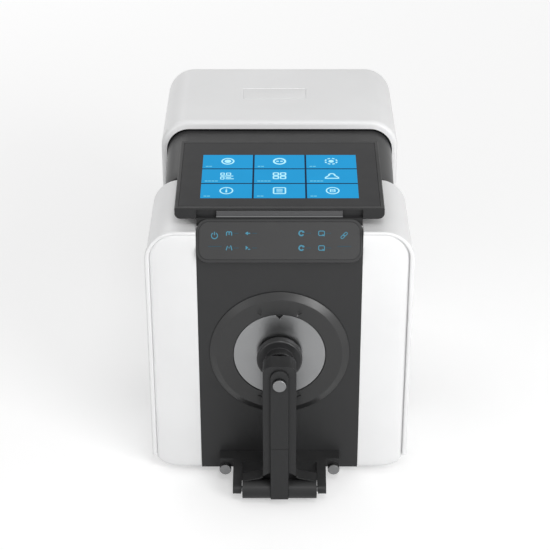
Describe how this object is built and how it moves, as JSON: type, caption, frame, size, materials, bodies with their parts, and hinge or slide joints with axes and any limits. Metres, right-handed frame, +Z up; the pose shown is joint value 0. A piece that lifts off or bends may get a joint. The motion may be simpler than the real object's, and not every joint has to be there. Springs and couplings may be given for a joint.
{
  "type": "benchtop spectrophotometer",
  "caption": "Benchtop spectrophotometer with a spring-loaded sample arm, tilted touch display, sliding compartment hood and integrating sphere.",
  "frame": {"origin": "on the bench, below the middle of the object's bounding box", "axes": "+Z up, +X to the instrument's right as seen from its front, front (sample arm) towards -Y"},
  "size_m": [0.2628, 0.412, 0.3173],
  "materials": {
    "white_shell": "satin white paint",
    "dark_front": "fine matte texture",
    "dark_display": "fine matte texture",
    "dark_hood": "satin",
    "key_film": "satin film",
    "display_glass": "polished",
    "screen": "matte back, lit face",
    "status_grey": "smooth",
    "arm_casting": "fine matte powder coat",
    "satin_plate": "satin anodised",
    "bright_steel": "turned and brushed",
    "black_rubber": "moulded",
    "sheet_aluminium": "mill",
    "black_anodised": "black anodised",
    "panel_paint": "textured powder coat",
    "black_plastic": "moulded",
    "sphere_white": "diffuse white coating",
    "optical_glass": "polished",
    "grating_mirror": "ruled",
    "circuit_board": "solder mask"
  },
  "bodies": {
    "root": {"base_tray": "white_shell", "front_shell": "white_shell", "cheek_left": "white_shell", "cheek_right": "white_shell", "rear_shell": "white_shell", "front_column": "dark_front", "port_ring": "dark_front", "visor": "dark_front", "display_housing": "dark_display", "display_riser": "dark_display", "key_panel": "key_film", "display_glass": "display_glass", "lcd_module": "screen", "status_bar": "status_grey", "clamp_base": "arm_casting", "hinge_pin": "bright_steel", "usb_socket": "bright_steel", "serial_socket": "bright_steel", "foot_front_left": "black_rubber", "foot_front_right": "black_rubber", "foot_rear_left": "black_rubber", "foot_rear_right": "black_rubber", "chassis_plate": "sheet_aluminium", "sphere_stand": "sheet_aluminium", "spectrometer_bench": "sheet_aluminium", "power_supply": "sheet_aluminium", "sample_holder": "black_anodised", "lens_barrel": "black_anodised", "spectrometer_body": "black_anodised", "spectrometer_lid": "black_anodised", "lamp_module": "black_anodised", "rear_panel": "panel_paint", "front_bulkhead": "panel_paint", "rear_bulkhead": "panel_paint", "compartment_floor": "panel_paint", "fan_guard": "panel_paint", "power_inlet": "black_plastic", "switch_frame": "black_plastic", "fan_frame": "black_plastic", "sphere_front": "sphere_white", "sphere_rear": "sphere_white", "collecting_lens": "optical_glass", "front_window": "optical_glass", "grating": "grating_mirror", "main_board": "circuit_board", "detector_board": "circuit_board"},
    "hood": {"hood": "dark_hood"},
    "arm": {"arm": "arm_casting", "arm_cover": "arm_casting", "return_spring": "bright_steel"},
    "press_head": {"press_cup": "dark_front", "head_spindle": "bright_steel", "head_pad": "black_rubber", "press_spring": "bright_steel"},
    "aperture": {"aperture_plate": "satin_plate"},
    "screw_left": {"thumbscrew_left": "bright_steel"},
    "screw_right": {"thumbscrew_right": "bright_steel"},
    "rocker": {"power_rocker": "black_plastic"},
    "fan": {"fan_rotor": "black_plastic"}
  },
  "joints": [
    {"name": "arm_swing", "type": "hinge", "parent": "root", "child": "arm", "pos_m": [0, -0.1917, 0.0159], "axis": [1, 0, 0], "range_deg": [0, 80], "stiffness_Nm_per_rad": 0.25, "springref_deg": -57.3},
    {"name": "head_press", "type": "slide", "parent": "arm", "child": "press_head", "axis": [0, -1, 0], "range_m": [0, 0.008], "stiffness_N_per_m": 600, "springref_m": -0.005, "deforming": ["press_spring"]},
    {"name": "aperture_turn", "type": "hinge", "parent": "root", "child": "aperture", "pos_m": [0, -0.1449, 0.147], "axis": [0, -1, 0], "range_deg": [-22, 22]},
    {"name": "hood_slide", "type": "slide", "parent": "root", "child": "hood", "axis": [0, 1, 0], "range_m": [0, 0.058]},
    {"name": "screw_left_turn", "type": "hinge", "parent": "root", "child": "screw_left", "pos_m": [-0.0556, -0.1587, 0.017], "axis": [0, -1, 0], "continuous": true},
    {"name": "screw_right_turn", "type": "hinge", "parent": "root", "child": "screw_right", "pos_m": [0.0556, -0.1587, 0.017], "axis": [0, -1, 0], "continuous": true},
    {"name": "rocker_tilt", "type": "hinge", "parent": "root", "child": "rocker", "pos_m": [0.062, 0.1976, 0.1], "axis": [1, 0, 0], "range_deg": [-16, 0]},
    {"name": "fan_turn", "type": "hinge", "parent": "root", "child": "fan", "pos_m": [-0.05, 0.183, 0.2], "axis": [0, 1, 0], "continuous": true}
  ]
}
